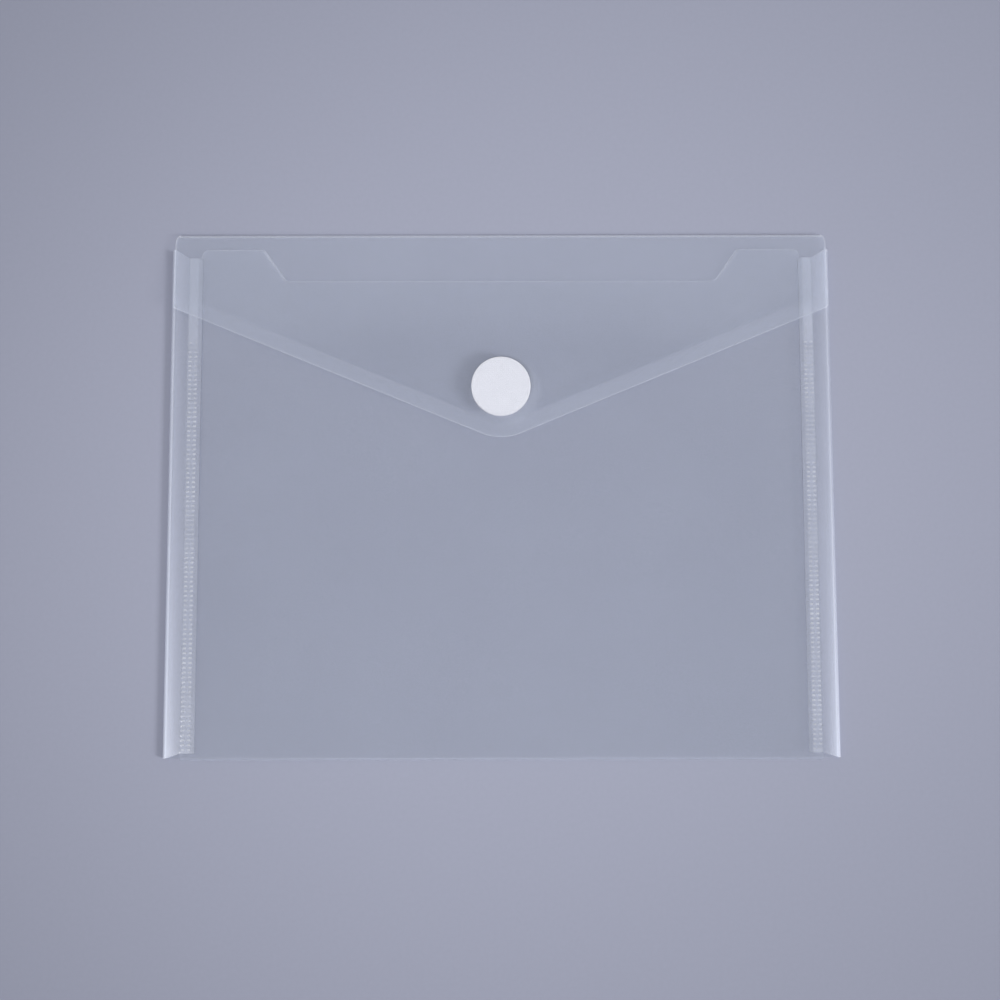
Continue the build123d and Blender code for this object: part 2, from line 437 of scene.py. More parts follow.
# Bright knobs, a milky band, greyer dents and a smooth margin read as a fine ladder down the seam
weld_look = {"roughness": 0.4, "grain_mm": 0.5, "whitened": towards_the_bottom, "shine": 0.02, "slant": 0.1,
             "veil": 0.25}
weld = clear_plastic("polypropylene_weld_knurled", "#F4F7FD", haze=0.25, cloud_mm=14, patchy=0.3, **weld_look)
pressed = clear_plastic("polypropylene_weld_pressed", pressed_white, haze=0.17, cloud_mm=9, **weld_look)
dented = clear_plastic("polypropylene_weld_dented", pressed_white, haze=0.095, cloud_mm=9, **weld_look)
lap = clear_plastic("polypropylene_lap_smooth", stretched_white, haze=0.055, roughness=0.2, cloud_mm=9,
                    grain_mm=0.5, veil=0.25)
# The step down from the lap to the front bends light away from the eye, so it is painted as a thin dark line
# of shade
step = clear_plastic("polypropylene_lap_step_painted_shade", "#4C5270", haze=0.07, roughness=0.3, cloud_mm=9, grain_mm=0.5,
                     whitened=towards_the_top, shine=0.02, slant=0.1)
# The dot's adhesive is a thin film that only takes the sparkle off what it holds
glue = clear_plastic("acrylic_adhesive_film", "#F2F4F8", haze=0.06, roughness=0.3, cloud_mm=3, grain_mm=0.5,
                     shine=0.0, slant=0.0)
# Where the sheet runs on there is no face to see
no_face, tree = new_finish("polypropylene_running_on")
passing = add_node(tree, "ShaderNodeBsdfTransparent")
add_node(tree, "ShaderNodeOutputMaterial", {}, {"Surface": passing.outputs["BSDF"]})
print("worked finishes:", [m.name for m in (crease, soft_fold, cut_edge, torn, weld, lap, step, glue)])

# %% [markdown]
# ## Working in sheet
# Every part of the wallet is cut from the same sheet, so the same few moves make them all: a flat blank is
# added, cut along straight lines, its corners are rounded, and the flat face is given its thickness with
# Solidify. The rim gets its own finish, because a die-cut edge is rough and catches the light. Where the
# sheet runs on into its neighbour there is no edge in the real object, so that part of the rim gets a finish
# that doesn't show.

# %% Working in sheet
SHEET, EDGE, RUN_ON = 0, 1, 2
edge_round = 0.13 * mm


def blank(name, low, high, z):
    """Add a flat rectangle between two corners at a height, and leave it open in edit mode."""
    bpy.ops.object.select_all(action="DESELECT")
    middle = ((low[0] + high[0]) / 2, (low[1] + high[1]) / 2, z)
    bpy.ops.mesh.primitive_plane_add(size=1, location=middle)
    piece = bpy.context.object
    piece.name = piece.data.name = name
    piece.scale = (high[0] - low[0], high[1] - low[1], 1)
    bpy.ops.object.transform_apply(location=True, rotation=True, scale=True)
    bpy.ops.object.mode_set(mode="EDIT")
    return piece


def pick(piece, kind, test):
    """Select the VERT, EDGE or FACE elements of the open piece whose middle passes the test."""
    bpy.ops.mesh.select_mode(type=kind)
    bpy.ops.mesh.select_all(action="DESELECT")
    mesh = bmesh.from_edit_mesh(piece.data)
    for element in {"VERT": mesh.verts, "EDGE": mesh.edges, "FACE": mesh.faces}[kind]:
        corners = [element] if kind == "VERT" else element.verts
        if test(sum((corner.co for corner in corners), Vector()) / len(corners)):
            element.select_set(True)
    mesh.select_flush_mode()
    bmesh.update_edit_mesh(piece.data)


def paint_picked(piece, index):
    """Give the picked faces of the open piece one of its finishes."""
    piece.active_material_index = index
    bpy.ops.object.material_slot_assign()


def cut(point, normal, keep_both=True):
    """Cut the open piece along a plane; unless both halves are kept, what the normal points at goes."""
    bpy.ops.mesh.select_mode(type="VERT")
    bpy.ops.mesh.select_all(action="SELECT")
    bpy.ops.mesh.bisect(
        plane_co=point, plane_no=Vector(normal).normalized(), clear_outer=not keep_both, threshold=merge,
    )


def round_corner(piece, x, y, radius, steps):
    """Round the corner of a flat outline at a place to a radius."""
    pick(piece, "VERT", lambda p: abs(p.x - x) < 2 * hair and abs(p.y - y) < 2 * hair)
    mesh = bmesh.from_edit_mesh(piece.data)
    corner = next(v for v in mesh.verts if v.select)
    arms = [e.other_vert(corner).co - corner.co for e in corner.link_edges if e.is_boundary]
    reach = radius / math.tan(arms[0].angle(arms[1]) / 2)
    bpy.ops.mesh.bevel(offset=reach, segments=steps, affect="VERTICES")


def thicken(piece, runs_on, face=clear_sheet):
    """Give the open piece the sheet's thickness, finish its rim, and soften the cut edges."""
    bpy.ops.object.mode_set(mode="OBJECT")
    for finish in (face, cut_edge, no_face):
        piece.data.materials.append(finish)
    bpy.ops.object.modifier_add(type="SOLIDIFY")
    wall = piece.modifiers[-1]
    wall.thickness = sheet
    wall.offset = 0
    wall.use_even_offset = True
    wall.material_offset_rim = EDGE
    bpy.ops.object.modifier_apply(modifier=wall.name)
    bpy.ops.object.mode_set(mode="EDIT")
    mesh = bmesh.from_edit_mesh(piece.data)
    for side in mesh.faces:
        if side.material_index == EDGE and runs_on(side.calc_center_median()):
            side.material_index = RUN_ON
    bpy.ops.mesh.select_mode(type="EDGE")
    bpy.ops.mesh.select_all(action="DESELECT")
    for edge in mesh.edges:
        kinds = {side.material_index for side in edge.link_faces}
        edge.select_set(kinds == {SHEET, EDGE})
    bmesh.update_edit_mesh(piece.data)
    bpy.ops.mesh.bevel(offset=edge_round, segments=2, affect="EDGES", material=EDGE)
    bpy.ops.mesh.select_all(action="SELECT")
    bpy.ops.mesh.normals_make_consistent(inside=False)
    bpy.ops.object.mode_set(mode="OBJECT")


def settle(piece, angle=32):
    """Smooth the shading over the rounded edges, and keep the large flat faces truly flat."""
    bpy.ops.object.select_all(action="DESELECT")
    piece.select_set(True)
    bpy.context.view_layer.objects.active = piece
    bpy.ops.object.shade_smooth_by_angle(angle=math.radians(angle))
    bpy.ops.object.modifier_add(type="WEIGHTED_NORMAL")
    piece.modifiers[-1].keep_sharp = True
    bpy.ops.object.modifier_apply(modifier=piece.modifiers[-1].name)


def report(piece):
    """Print what a finished piece has come to."""
    print(piece.name, len(piece.data.polygons), "faces,", [round(s / mm, 2) for s in piece.dimensions], "mm")


# %% [markdown]
# ## The back
# The back lies flat on the board and everything else folds out of it. It is a rectangle whose two top corners
# are rounded together with the flap's, so the blank runs up to the crease, is rounded there, and is then cut
# off where the fold starts.

# %% The back
corner_radius = 2.4 * mm
wing_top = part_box("right_wing")[1].y
back = blank("back_sheet", (back_low.x, back_low.y), (back_high.x, top_edge), sheet / 2)
for x in (back_low.x, back_high.x):
    round_corner(back, x, top_edge, corner_radius, 8)
cut((0, top_fold_y, 0), (0, 1, 0), keep_both=False)
cut((0, wing_top, 0), (0, 1, 0))
thicken(back, lambda p: p.y > top_fold_y - hair or p.y < bottom_fold_y + hair
        or (abs(p.x) > back_high.x - hair and p.y < wing_top))
settle(back)
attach(back, "back")
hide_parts("back_panel")
report(back)

# %% [markdown]
# ## The front
# The front ends in an ear at each side and a shallow thumb scoop between them. The blank is scored along the
# lines of that outline, the waste is deleted, and the score lines inside the panel are dissolved again. An
# inset gives it a margin all round, and where the margin runs down the slanted cuts a painted highlight
# stands for the glint of those cut walls. The panel is painted a little whiter up at its ears and down at
# its fold, as light that makes up for the lamp's pool falling off there.

# %% The front's plastic
# Painted light: ramps that lift the front at its ears and at its fold
painted_light_at_ears = along_the_sheet(50 * mm, front_high.y, 0.05)
painted_light_at_fold = along_the_sheet(-25 * mm, front_low.y, 0.025)


def towards_the_mouth(tree, place):
    """Paint light on the front up at its ears and down at its fold, where the lamp's pool falls off."""
    return add_node(tree, "ShaderNodeMath", {"operation": "ADD"}, {
        0: painted_light_at_ears(tree, place), 1: painted_light_at_fold(tree, place),
    }).outputs["Value"]


# Clear sheet with the same faint veil, painted a shade whiter at both ends to make up for the lamp's falloff
front_face = clear_plastic("polypropylene_front_painted_light", sheet_haze, haze=0.042, roughness=0.09,
                           whitened=towards_the_mouth)
print("front finish:", front_face.name)

# %% The front
front_half = front_high.x
ear_outer, ear_inner, scoop_corner = 102.0 * mm, 80.6 * mm, 72.9 * mm
ear_radius, scoop_radius, margin = 2.4 * mm, 1.0 * mm, 0.9 * mm
lap_low, lap_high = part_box("right_seam")
scoop_y = top_edge - 16.3 * mm
slant = Vector((front_high.y - scoop_y, scoop_corner - ear_inner, 0)).normalized()
slope = (ear_inner - scoop_corner) / (front_high.y - scoop_y)
front = blank("front_sheet", (-front_half, front_low.y), (front_half, front_high.y), front_low.z + sheet / 2)
cut((0, lap_high.y, 0), (0, 1, 0))
cut((0, scoop_y, 0), (0, 1, 0))
for side in (-1, 1):
    cut((side * ear_outer, 0, 0), (1, 0, 0))
    cut((side * scoop_corner, scoop_y, 0), (side * slant.x, slant.y, 0))
pick(front, "FACE", lambda p: (p.y > lap_high.y and abs(p.x) > ear_outer)
     or (p.y > scoop_y and abs(p.x) < scoop_corner + slope * (p.y - scoop_y)))
bpy.ops.mesh.delete(type="FACE")
bpy.ops.mesh.select_all(action="SELECT")
bpy.ops.mesh.dissolve_limited(angle_limit=math.radians(1))
for side in (-1, 1):
    round_corner(front, side * ear_outer, front_high.y, ear_radius, 8)
    round_corner(front, side * ear_inner, front_high.y, scoop_radius, 5)
    round_corner(front, side * scoop_corner, scoop_y, scoop_radius, 5)
bpy.ops.mesh.select_all(action="SELECT")
bpy.ops.mesh.inset(thickness=margin)
thicken(front, lambda p: p.y < bottom_fold_y + hair, front_face)
report(front)

# %% The front's edges
SCOOP_HIGHLIGHT = 3
scoop_highlight_middle, scoop_highlight_reach = 0.6 * mm, 0.5 * mm
front.data.materials.append(torn)
bpy.ops.object.mode_set(mode="EDIT")
# The side edges lie in the wings and don't glint
pick(front, "FACE", lambda p: abs(p.x) > front_half - edge_round - hair)
paint_picked(front, SHEET)
# Painted highlight: a band beside each slanted cut, for the glint of its cut wall
pick(front, "FACE", lambda p: scoop_y + mm < p.y < front_high.y - 0.6 * mm
     and abs(abs(p.x) - scoop_corner - slope * (p.y - scoop_y) - scoop_highlight_middle) < scoop_highlight_reach)
paint_picked(front, SCOOP_HIGHLIGHT)
bpy.ops.object.mode_set(mode="OBJECT")
settle(front)
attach(front, "front")
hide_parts("front_panel")
report(front)

# %% [markdown]
# ## The flap
# The flap leaves its fold at a slope of eight degrees and sweeps round to level just before the dot, which
# holds it up. Its plan is a wide V with a blunt point. The flat blank is cut to that plan first, then cut
# into narrow rows across, and at the end each row is lifted to its height on the sweep. A bend tool would
# need a window. The cutter leaves a pressed border beside the V, which turns up a little. The sheet is
# painted paler along that border, as the lit strip that the flap's shadow misses, and a painted glow beside
# the dot lifts the shade round it. It is also a little whiter near its fold.

# %% The flap's sweep
level_z = flap_high.z - sheet / 2
dot_low, dot_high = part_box("hook_backing")
dot_middle = ((dot_low.x + dot_high.x) / 2, (dot_low.y + dot_high.y) / 2)
level_y = dot_high.y + 3.5 * mm
rise = level_z - 2 * fold_radius + sheet / 2
lift = 2 * math.atan(rise / (top_fold_y - level_y))
middle_radius = fold_radius - sheet / 2
sweep_radius = (top_fold_y - level_y) / math.sin(lift) + middle_radius
flap_start_y = top_fold_y + middle_radius * math.sin(lift)
border, border_lift = 5.4 * mm, 0.45 * mm
arm = Vector((shoulder_y - point_y, -flap_half, 0)).normalized()
print("flap leaves its fold at", round(math.degrees(lift), 2), "degrees")

# %% The flap's plastic
level_white, fold_white, border_light = 0.004, 0.05, 0.032
halo_middle = (dot_middle[0] + 1.6 * mm, dot_middle[1] - 1.9 * mm, level_z)
halo_outer, halo_inner, glow_light = 12.8 * mm, 9 * mm, 0.075
dot_rim = 9.9 * mm


def towards_the_fold(tree, place):
    """Paint the flap paler along the border beside the V and in a glow beside the dot, and whiten it towards
    its fold.
    """
    parts = add_node(tree, "ShaderNodeSeparateXYZ", {}, {0: place})
    near = add_node(tree, "ShaderNodeMapRange", {}, {
        "Value": parts.outputs["Y"], "From Min": level_y, "From Max": top_edge,
        "To Min": level_white, "To Max": fold_white,
    })
    out = add_node(tree, "ShaderNodeMath", {"operation": "ABSOLUTE"}, {0: parts.outputs["X"]})
    across = add_node(tree, "ShaderNodeMath", {"operation": "MULTIPLY_ADD"}, {
        0: out.outputs["Value"], 1: -arm.x, 2: arm.y * point_y,
    })
    inside = add_node(tree, "ShaderNodeMath", {"operation": "MULTIPLY_ADD"}, {
        0: parts.outputs["Y"], 1: -arm.y, 2: across.outputs["Value"],
    })
    # Painted light: the lit strip just inside the V, where the flap's shadow falls short
    lit_band_beside_v = add_node(tree, "ShaderNodeMapRange", {}, {
        "Value": inside.outputs["Value"], "From Min": border, "From Max": border * 0.92,
        "To Min": 0, "To Max": border_light,
    })
    # Painted light: a glow round the dot, off to the right and below, that lifts the dot's shade
    off_halo = add_node(tree, "ShaderNodeVectorMath", {"operation": "DISTANCE"}, {0: place, 1: halo_middle})
    painted_glow = add_node(tree, "ShaderNodeMapRange", {}, {
        "Value": off_halo.outputs["Value"], "From Min": halo_outer, "From Max": halo_inner,
        "To Min": 0, "To Max": glow_light,
    })
    off_dot = add_node(tree, "ShaderNodeVectorMath", {"operation": "DISTANCE"}, {
        0: place, 1: (*dot_middle, level_z),
    })
    beside = add_node(tree, "ShaderNodeMath", {"operation": "GREATER_THAN"}, {
        0: off_dot.outputs["Value"], 1: dot_rim,
    })
    both = add_node(tree, "ShaderNodeMath", {"operation": "ADD"}, {
        0: near.outputs["Result"], 1: lit_band_beside_v.outputs["Result"],
    })
    return add_node(tree, "ShaderNodeMath", {"operation": "MULTIPLY_ADD"}, {
        0: painted_glow.outputs["Result"], 1: beside.outputs["Value"], 2: both.outputs["Value"],
    }).outputs["Value"]


# The clearest sheet of all, so that the front shows through it, with painted light along the border as a pale
# band
flap_sheet = clear_plastic("polypropylene_flap_painted_light", sheet_haze, haze=0.032, roughness=0.09,
                           whitened=towards_the_fold, veil=0.4)
print("flap finish:", flap_sheet.name)

# %% The flap
point_radius, shoulder_radius = 16.0 * mm, 2.0 * mm
fold_gap, rows = 0.04 * mm, 22
flap = blank("flap", (-flap_half, point_y), (flap_half, top_edge), 0)
for side in (-1, 1):
    cut((side * flap_half, shoulder_y, 0), (side * (shoulder_y - point_y), -flap_half, 0), keep_both=False)
bpy.ops.mesh.select_all(action="SELECT")
bpy.ops.mesh.remove_doubles(threshold=hair)
round_corner(flap, 0, point_y, point_radius, 18)
for side in (-1, 1):
    round_corner(flap, side * flap_half, shoulder_y, shoulder_radius, 5)
    round_corner(flap, side * flap_half, top_edge, corner_radius, 8)
cut((0, flap_start_y - fold_gap, 0), (0, 1, 0), keep_both=False)
for row in range(rows):
    cut((0, level_y + (flap_start_y - level_y) * row / rows, 0), (0, 1, 0))
for side in (-1, 1):
    for inset in (border, border * 0.9):
        cut(Vector((0, point_y, 0)) - inset * Vector((side * arm.x, arm.y, 0)), (side * arm.x, arm.y, 0))
mesh = bmesh.from_edit_mesh(flap.data)
for vertex in mesh.verts:
    run = max(0.0, vertex.co.y - level_y)
    inside = -arm.dot(Vector((abs(vertex.co.x), vertex.co.y - point_y, 0)))
    vertex.co.z = level_z - sweep_radius + math.sqrt(sweep_radius ** 2 - run ** 2)
    vertex.co.z += border_lift * max(0.0, 1 - inside / border)
bmesh.update_edit_mesh(flap.data)
thicken(flap, lambda p: p.y > flap_start_y - 0.2 * mm and abs(p.x) < flap_half - 0.9 * mm, flap_sheet)
settle(flap)
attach(flap, "flap")
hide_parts("flap_panel")
report(flap)

# %% [markdown]
# ## The top and bottom folds
# A fold is a narrow strip turned round a small radius. One edge of a blank is kept and spun about the fold's
# axis, which gives the strip in one move. The top strip is drawn in at its ends to follow the flap's rounded
# corners. The plastic is its own hinge, but each strip here stays fixed in its place.


# %% The top and bottom folds
def spun_fold(name, half_width, axis_y, angle, direction):
    """Spin an edge that lies along X round a fold's axis, from the back up and over."""
    strip = blank(name, (-half_width, axis_y - mm), (half_width, axis_y), sheet / 2)
    pick(strip, "VERT", lambda p: p.y < axis_y - mm / 2)
    bpy.ops.mesh.delete(type="VERT")
    bpy.ops.mesh.select_all(action="SELECT")
    bpy.ops.mesh.spin(steps=18, angle=direction * angle, center=(0, axis_y, fold_radius), axis=(1, 0, 0))
    bpy.ops.mesh.select_all(action="SELECT")
    bpy.ops.mesh.remove_doubles(threshold=merge)
    bpy.ops.mesh.normals_make_consistent(inside=False)
    return strip


top_fold = spun_fold("top_fold", flap_half, top_fold_y, math.pi - lift, -1)
mesh = bmesh.from_edit_mesh(top_fold.data)
for vertex in mesh.verts:
    past = max(0.0, vertex.co.y - (top_edge - corner_radius))
    half = flap_half - corner_radius + math.sqrt(max(0.0, corner_radius ** 2 - past ** 2))
    vertex.co.x = math.copysign(half, vertex.co.x)
bmesh.update_edit_mesh(top_fold.data)
thicken(top_fold, lambda p: abs(p.x) < flap_half - 3 * mm, crease)
settle(top_fold)
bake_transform(top_fold)
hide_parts("flap_fold")
report(top_fold)

bottom_fold = spun_fold("bottom_fold_strip", front_half, bottom_fold_y, math.pi, 1)
thicken(bottom_fold, lambda p: abs(p.x) < front_half - mm, soft_fold)
bottom_fold.data.materials[EDGE] = soft_fold
settle(bottom_fold)
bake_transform(bottom_fold)
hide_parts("bottom_fold")
report(bottom_fold)

# %% [markdown]
# ## The side wings
# A wing is the back's side turned over in a round fold. Its leaf then runs in to the seam, and both ends of
# the leaf are cut on the slant so that they clear the mouth and the bottom fold. One wing is spun from an
# edge, its last edge is extruded in to the seam, and the other wing is its mirrored copy. Only then does the
# right fold get its own finish, because it faces the low lamp.

# %% The side wings
side_low, side_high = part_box("right_side_fold")
turn_radius = (side_high.z - side_low.z) / 2
turn_x = side_low.x
columns = 6
column_width = (turn_x - lap_high.x) / columns
leaf_z = 2 * turn_radius - sheet * 0.6
wing = blank("right_wing_sheet", (turn_x, side_low.y), (turn_x + mm, side_high.y), sheet / 2)
pick(wing, "VERT", lambda p: p.x > turn_x + mm / 2)
bpy.ops.mesh.delete(type="VERT")
bpy.ops.mesh.select_all(action="SELECT")
bpy.ops.mesh.subdivide(number_cuts=43)
bpy.ops.mesh.select_all(action="SELECT")
bpy.ops.mesh.spin(steps=16, angle=math.pi, center=(turn_x, 0, turn_radius), axis=(0, 1, 0))
for column in range(columns):
    pick(wing, "EDGE", lambda p: p.z > leaf_z and abs(p.x - turn_x + column * column_width) < hair)
    bpy.ops.mesh.extrude_edges_move(TRANSFORM_OT_translate={"value": (-column_width, 0, 0)})
bpy.ops.mesh.select_all(action="SELECT")
bpy.ops.mesh.remove_doubles(threshold=merge)
bpy.ops.mesh.normals_make_consistent(inside=False)
for outer_y, inner_y, away in ((side_high.y, lap_high.y, 1), (side_low.y, lap_low.y, -1)):
    pick(wing, "FACE", lambda p: p.z > leaf_z and p.x < turn_x)
    along = Vector((turn_x - lap_high.x, outer_y - inner_y, 0)).normalized()
    bpy.ops.mesh.bisect(
        plane_co=(turn_x, outer_y, 0), plane_no=(-away * along.y, away * along.x, 0), clear_outer=True,
        threshold=merge,
    )
print("wing leaf", round((turn_x - lap_high.x) / mm, 2), "mm wide")

# %% The wing's corner and fold
TURNED = 3
wing_corner, end_row = 1.1 * mm, 0.4 * mm
mesh = bmesh.from_edit_mesh(wing.data)
for vertex in mesh.verts:
    past = vertex.co.x - (side_high.x - wing_corner)
    if past > 0 and vertex.co.y > side_high.y - end_row:
        vertex.co.y -= wing_corner - math.sqrt(max(0.0, wing_corner ** 2 - past ** 2))
bmesh.update_edit_mesh(wing.data)
thicken(wing, lambda p: p.x < lap_high.x + hair or (p.z < sheet and p.x < turn_x + hair), wing_sheet)
wing.data.materials.append(wing_fold)
bpy.ops.object.mode_set(mode="EDIT")
mesh = bmesh.from_edit_mesh(wing.data)
for side in mesh.faces:
    if side.material_index == SHEET and side.calc_center_median().x > turn_x:
        side.material_index = TURNED
bmesh.update_edit_mesh(wing.data)
bpy.ops.object.mode_set(mode="OBJECT")
report(wing)


# %% The left wing, and both wings finished
def mirrored(piece, name):
    """Copy a finished piece to the other side, with a mesh of its own that faces outwards."""
    bpy.ops.object.select_all(action="DESELECT")
    piece.select_set(True)
    bpy.context.view_layer.objects.active = piece
    bpy.ops.object.duplicate(linked=False)
    copy = bpy.context.object
    copy.name = copy.data.name = name
    bpy.ops.object.mode_set(mode="EDIT")
    bpy.ops.mesh.select_all(action="SELECT")
    bpy.ops.transform.resize(value=(-1, 1, 1), center_override=(0, 0, 0))
    bpy.ops.mesh.normals_make_consistent(inside=False)
    bpy.ops.object.mode_set(mode="OBJECT")
    return copy


wings = ((wing, "right", 1), (mirrored(wing, "left_wing_sheet"), "left", -1))
wing.data.materials[TURNED] = lit_fold
for piece, side, sign in wings:
    settle(piece)
    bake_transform(piece)
    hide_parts(f"{side}_side_fold", f"{side}_wing")
    report(piece)

# %% [markdown]
# ## The seams
# The wing's inner edge is welded to the front with a knurled wheel, which leaves a fine ladder: each rung has
# a raised knob at both ends, and the plastic between two rungs is pressed down. A strip is cut into those
# cells, the cells between the rungs are inset and let down, and the knobs are inset one by one and raised.
# The margin inside the weld and the band above the ladder stay smooth, and the strip's inner edge is a dark
# step.

# %% The seams
knurl_pitch, rung = 1.59 * mm, 0.6 * mm
band_inner, band_outer, band_columns = 102.9 * mm, 105.9 * mm, 3
knurl_low, knurl_top = lap_low.y + mm, 53.0 * mm
seam_lift, lap_corner = 0.02 * mm, 1.2 * mm
KNOB, BAND, DENT = 3, 4, 5
seam_z = lap_low.z + sheet / 2 + seam_lift
seam = blank("right_seam_strip", (lap_low.x, lap_low.y), (lap_high.x, lap_high.y), seam_z)
round_corner(seam, lap_low.x, lap_high.y, lap_corner, 5)
for column in range(band_columns + 1):
    cut((band_inner + column * (band_outer - band_inner) / band_columns, 0, 0), (1, 0, 0))
rungs = int((knurl_top - knurl_low) / knurl_pitch)
for count in range(rungs):
    cut((0, knurl_low + count * knurl_pitch, 0), (0, 1, 0))
    cut((0, knurl_low + count * knurl_pitch + rung, 0), (0, 1, 0))
thicken(seam, lambda p: p.x > lap_high.x - hair, lap)
for finish in (weld, pressed, dented):
    seam.data.materials.append(finish)
seam.data.materials[EDGE] = step
print("rungs", rungs)

# %% The knurl
dent_margin, dent_depth = 0.12 * mm, 0.09 * mm
knob_margin, knob_height = 0.14 * mm, 0.05 * mm
knurl_end = knurl_low + (rungs - 1) * knurl_pitch + rung
band_middle, knob_reach = (band_inner + band_outer) / 2, (band_outer - band_inner) / (2 * band_columns)


def in_band(p):
    """Is a place on the upper face of the welded band?"""
    return band_inner < p.x < band_outer and p.z > lap_high.z - 0.05 * mm


def in_ladder(p):
    """Is a place in the knurled part of the band?"""
    return in_band(p) and knurl_low < p.y < knurl_end


def on_rung(p):
    """Is a place on one of the ladder's rungs?"""
    return in_ladder(p) and (p.y - knurl_low) % knurl_pitch < rung


bpy.ops.object.mode_set(mode="EDIT")
pick(seam, "FACE", in_band)
paint_picked(seam, BAND)
pick(seam, "FACE", lambda p: in_ladder(p) and not on_rung(p))
paint_picked(seam, DENT)
bpy.ops.mesh.inset(thickness=dent_margin, depth=-dent_depth)
pick(seam, "FACE", lambda p: on_rung(p) and abs(p.x - band_middle) > knob_reach and p.z > lap_high.z - hair)
paint_picked(seam, KNOB)
bpy.ops.mesh.inset(thickness=knob_margin, depth=knob_height, use_individual=True)
bpy.ops.object.mode_set(mode="OBJECT")
seams = ((seam, "right"), (mirrored(seam, "left_seam_strip"), "left"))
for piece, side in seams:
    settle(piece)
    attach(piece, "front")
    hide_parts(f"{side}_seam")
    report(piece)

# %% [markdown]
# ## The dot's finishes
# The dot is nylon. Its backing is a tape woven from white yarn about a third of a millimetre thick, the loops
# are fine brushed filaments that look like felt, and the hooks are a thicker, slightly glassy filament.

# %% The dot's finishes
# A wave texture with a scale of 1 repeats at this distance
wave_length = 0.314
fibre_size = 0.8 * mm


def nylon(name, colour, shade, thread_mm, roughness, depth_mm):
    """White nylon with the over-and-under of a weave, drawn by two crossed sets of waves."""
    finish, tree = new_finish(name)
    coords = add_node(tree, "ShaderNodeTexCoord")
    threads = [
        add_node(tree, "ShaderNodeTexWave", {"bands_direction": way}, {
            "Vector": coords.outputs["Object"], "Scale": wave_length / (2 * thread_mm * mm),
            "Distortion": 0.4, "Detail": 1,
        })
        for way in ("X", "Y")
    ]
    crossed = add_node(tree, "ShaderNodeMath", {"operation": "MULTIPLY"}, {
        0: threads[0].outputs["Fac"], 1: threads[1].outputs["Fac"],
    })
    fibre = add_node(tree, "ShaderNodeTexNoise", {}, {
        "Vector": coords.outputs["Object"], "Scale": 1 / fibre_size, "Detail": 3,
    })
    height = add_node(tree, "ShaderNodeMath", {"operation": "MULTIPLY_ADD"}, {
        0: fibre.outputs["Fac"], 1: 0.6, 2: crossed.outputs["Value"],
    })
    # The weave's hollows are painted the darker shade, on top of their bump
    tone = add_node(tree, "ShaderNodeMix", {"data_type": "RGBA"}, {
        "Factor": height.outputs["Value"], 6: linear(shade), 7: linear(colour),
    })
    bump = add_node(tree, "ShaderNodeBump", {}, {
        "Strength": 0.5, "Distance": depth_mm * mm, "Height": height.outputs["Value"],
    })
    cloth = add_node(tree, "ShaderNodeBsdfPrincipled", {}, {
        "Base Color": tone.outputs[2], "Roughness": roughness, "IOR": 1.53, "Sheen Weight": 0.2,
        "Normal": bump.outputs["Normal"],
    })
    add_node(tree, "ShaderNodeOutputMaterial", {}, {"Surface": cloth.outputs["BSDF"]})
    return finish


# Tape is a soft white with the ghost of a weave, loops look like felt, and hooks have a slight glint
tape = nylon("nylon_tape_woven", "#F8F5F8", "#ECEBF0", thread_mm=0.35, roughness=0.7, depth_mm=0.05)
felt = nylon("nylon_loops_brushed", "#F4F5F8", "#DDE0E8", thread_mm=0.3, roughness=0.85, depth_mm=0.08)
filament = nylon("nylon_hooks_filament", "#F1F3F7", "#E2E5EC", thread_mm=0.5, roughness=0.4, depth_mm=0.01)
print("dot finishes:", [m.name for m in (tape, felt, filament)])

# %% [markdown]
# ## The discs
# Each half of the dot is punched from tape, so a disc has a crisp edge with a slight roll. A cylinder is the
# start: its faces are inset and let down by a hair, where the punch pressed them, and its rims are bevelled.
# The adhesive film is a thinner and slightly smaller disc of the same make.


# %% The discs
def disc(name, node, finish, roll, gap):
    """Make a punched disc in the place of a node, with a rolled rim and a gap over and under it."""
    low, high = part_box(node)
    middle = (low + high) / 2
    bpy.ops.object.select_all(action="DESELECT")
    bpy.ops.mesh.primitive_cylinder_add(
        vertices=96, radius=(high.x - low.x) / 2, depth=high.z - low.z - 2 * gap, location=middle,
    )
    piece = bpy.context.object
    piece.name = piece.data.name = name
    bpy.ops.object.transform_apply(location=True, rotation=True, scale=True)
    bpy.ops.object.mode_set(mode="EDIT")
    rim = (high.x - low.x) / 2 - 0.1 * mm
    rim_z = (high.z - low.z) / 2 - 2 * gap - hair
    pick(piece, "FACE", lambda p: (p - middle).xy.length < rim)
    bpy.ops.mesh.inset(thickness=0.5 * mm, depth=-roll * 0.3)
    pick(piece, "EDGE", lambda p: (p - middle).xy.length > rim and abs(p.z - middle.z) > rim_z)
    bpy.ops.mesh.bevel(offset=roll, segments=3, affect="EDGES")
    bpy.ops.object.mode_set(mode="OBJECT")
    settle(piece, 40)
    piece.data.materials.append(finish)
    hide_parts(node)
    report(piece)
    return piece


film_roll, film_gap, tape_roll = 0.02 * mm, 0.01 * mm, 0.08 * mm
for node, finish, roll, gap, body, slot in (
    ("loop_adhesive", glue, film_roll, film_gap, "front", "adhesive_film"),
    ("loop_backing", tape, tape_roll, 0.0, "front", "dot_backing"),
    ("hook_backing", tape, tape_roll, 0.0, "flap", "dot_backing"),
    ("hook_adhesive", glue, film_roll, film_gap, "flap", "adhesive_film"),
):
    piece = disc(f"{node}_disc", node, finish, roll, gap)
    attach(piece, body)

# %% [markdown]
# ## Hooks and loops
# A loop is a filament that leaves the backing and comes back to it, and a hook is the same with its end cut
# off. One of each is spun from a small ring, and copies are set out in a triangle pattern, each with a seeded
# shift and turn, so that they look sewn and not stamped. All copies of a kind are joined into one piece.

# %% Hooks and loops
rim_margin, jitter = 0.35 * mm, 0.12
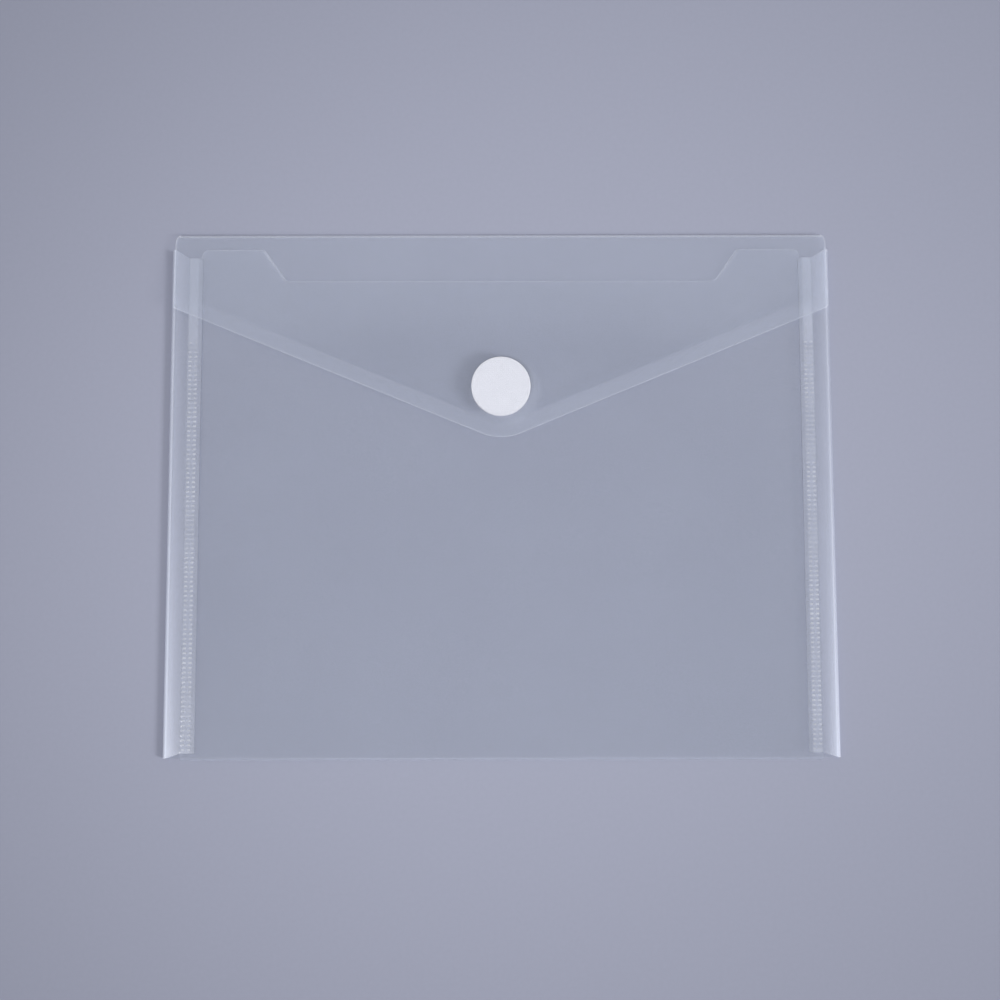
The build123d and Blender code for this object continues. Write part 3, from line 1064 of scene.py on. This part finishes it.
# Rows of a triangle pattern are closer than its columns by the height of a triangle with sides of 1
row_step = 0.866


def bow(name, half_span, radius, corners, leg, steps, turn):
    """Draw a filament from a small flat ring, up a leg and round a bow, and leave its end picked."""
    bpy.ops.object.select_all(action="DESELECT")
    bpy.ops.mesh.primitive_circle_add(vertices=corners, radius=radius, location=(-half_span, 0, 0))
    piece = bpy.context.object
    piece.name = piece.data.name = name
    bpy.ops.object.transform_apply(location=True, rotation=True, scale=True)
    bpy.ops.object.mode_set(mode="EDIT")
    bpy.ops.mesh.select_all(action="SELECT")
    bpy.ops.mesh.extrude_region_move(TRANSFORM_OT_translate={"value": (0, 0, leg)})
    bpy.ops.mesh.spin(steps=steps, angle=-turn, center=(0, 0, leg), axis=(0, 1, 0))
    return piece


def planted(name, single, node, pitch, upside_down, seed, finish):
    """Close one filament, set out copies of it over a node's disc, and join them into one piece."""
    bpy.ops.mesh.select_all(action="SELECT")
    bpy.ops.mesh.normals_make_consistent(inside=False)
    bpy.ops.object.mode_set(mode="OBJECT")
    print(single.name, "height", round(single.dimensions.z / mm, 3), "mm")
    low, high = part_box(node)
    middle, reach = (low + high) / 2, (high.x - low.x) / 2 - rim_margin
    chance = random.Random(seed)
    copies = []
    count = int(reach / pitch) + 2
    for row in range(-count, count + 1):
        for column in range(-count, count + 1):
            x = (column + (row % 2) / 2) * pitch + chance.uniform(-jitter, jitter) * pitch
            y = row * pitch * row_step + chance.uniform(-jitter, jitter) * pitch
            turn = chance.uniform(0, 2 * math.pi)
            if math.hypot(x, y) > reach:
                continue
            copy = bpy.data.objects.new("copy", single.data.copy())
            copy.location = (middle.x + x, middle.y + y, high.z if upside_down else low.z)
            copy.rotation_euler = (math.pi if upside_down else 0, 0, turn)
            bpy.context.scene.collection.objects.link(copy)
            copies.append(copy)
    bpy.ops.object.select_all(action="DESELECT")
    for copy in copies:
        copy.select_set(True)
    bpy.context.view_layer.objects.active = copies[0]
    bpy.ops.object.join()
    bpy.ops.object.transform_apply(location=True, rotation=True, scale=True)
    field = bpy.context.object
    field.name = field.data.name = name
    bpy.data.objects.remove(single)
    bpy.ops.object.shade_smooth()
    field.data.materials.append(finish)
    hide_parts(node)
    report(field)
    return field


loop_leg, loop_pitch = 0.3 * mm, 0.66 * mm
loop = bow("loop", 0.26 * mm, 0.05 * mm, corners=5, leg=loop_leg, steps=6, turn=math.pi)
bpy.ops.mesh.extrude_region_move(TRANSFORM_OT_translate={"value": (0, 0, -loop_leg)})
loops = planted("loop_pile_field", loop, "loop_pile", loop_pitch, False, 3, felt)
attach(loops, "front")

hook_leg, hook_pitch = 0.4 * mm, 0.98 * mm
hook = bow("hook", 0.16 * mm, 0.07 * mm, corners=6, leg=hook_leg, steps=5, turn=math.radians(200))
bpy.ops.mesh.edge_face_add()
hooks = planted("hook_field_pins", hook, "hook_field", hook_pitch, True, 5, filament)
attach(hooks, "flap")
